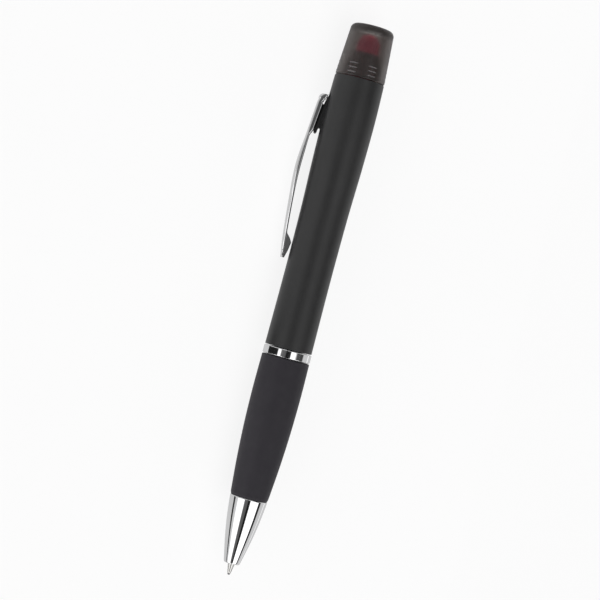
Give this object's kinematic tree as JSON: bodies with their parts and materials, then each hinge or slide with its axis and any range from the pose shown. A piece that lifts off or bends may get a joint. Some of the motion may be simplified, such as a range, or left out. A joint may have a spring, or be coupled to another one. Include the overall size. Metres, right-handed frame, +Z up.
{
  "type": "counterfeit detector pen",
  "caption": "Two-ended pen: a twist-action ballpoint below, an iodine marker under a translucent pull-off cap above, with a chrome spring clip.",
  "frame": {"origin": "on the surface the pen lies on, below the middle of its bounding box", "axes": "+X along the pen towards the writing tip, +Z up from the surface, -Y towards the side the clip points to; the pen lies on its barrel and the clip's lower side corner"},
  "size_m": [0.143, 0.0164, 0.0131],
  "materials": {
    "black_plastic": "satin black moulded plastic",
    "chrome": "polished",
    "soft_rubber": "matte soft-touch",
    "smoke_plastic": "translucent smoke, polished",
    "dark_plastic": "moulded",
    "grey_plastic": "moulded",
    "white_plastic": "moulded",
    "clear_film": "thin film",
    "ink_fibre": "bonded fibre, soaked with ink",
    "ink_felt": "pressed felt, soaked with ink",
    "refill_tube": "extruded tube with dark ink behind it",
    "nickel_silver": "turned",
    "tungsten_carbide": "polished ball",
    "spring_steel": "drawn wire"
  },
  "bodies": {
    "upper": {"upper_barrel": "black_plastic", "cam_sleeve": "grey_plastic", "marker_tube": "white_plastic", "marker_reservoir": "ink_fibre", "reservoir_sleeve": "clear_film", "nib_holder": "dark_plastic", "marker_nib": "ink_felt"},
    "lower": {"lower_barrel": "grey_plastic", "grip_sleeve": "soft_rubber", "nose_cone": "chrome", "center_ring": "chrome", "guide_tube": "grey_plastic", "return_spring": "spring_steel"},
    "refill": {"plunger": "white_plastic", "refill_tube": "refill_tube", "refill_adapter": "white_plastic", "refill_tip": "nickel_silver"},
    "ball": {"refill_ball": "tungsten_carbide"},
    "clip": {"clip": "chrome"},
    "cap": {"cap": "smoke_plastic"}
  },
  "joints": [
    {"name": "barrel_twist", "type": "hinge", "parent": "upper", "child": "lower", "pos_m": [0, 0.00169, 0.00656], "axis": [-1, 0, 0], "range_deg": [0, 150]},
    {"name": "refill_slide", "type": "slide", "parent": "lower", "child": "refill", "axis": [-1, 0, 0], "range_m": [0, 0.00521], "deforming": ["return_spring"]},
    {"name": "ball_roll", "type": "hinge", "parent": "refill", "child": "ball", "pos_m": [0.07115, 0.00169, 0.00656], "axis": [0, 1, 0], "continuous": true},
    {"name": "cap_pull", "type": "slide", "parent": "upper", "child": "cap", "axis": [-1, 0, 0], "range_m": [0, 0.02]},
    {"name": "clip_flex", "type": "hinge", "parent": "upper", "child": "clip", "pos_m": [-0.0513, -0.00442, 0.00334], "axis": [0, 0.466, -0.8848], "range_deg": [0, 4], "stiffness_Nm_per_rad": 3.4}
  ],
  "couplings": [
    {"joint": "refill_slide", "follows": "barrel_twist", "m_per_rad": 0.0019863}
  ]
}
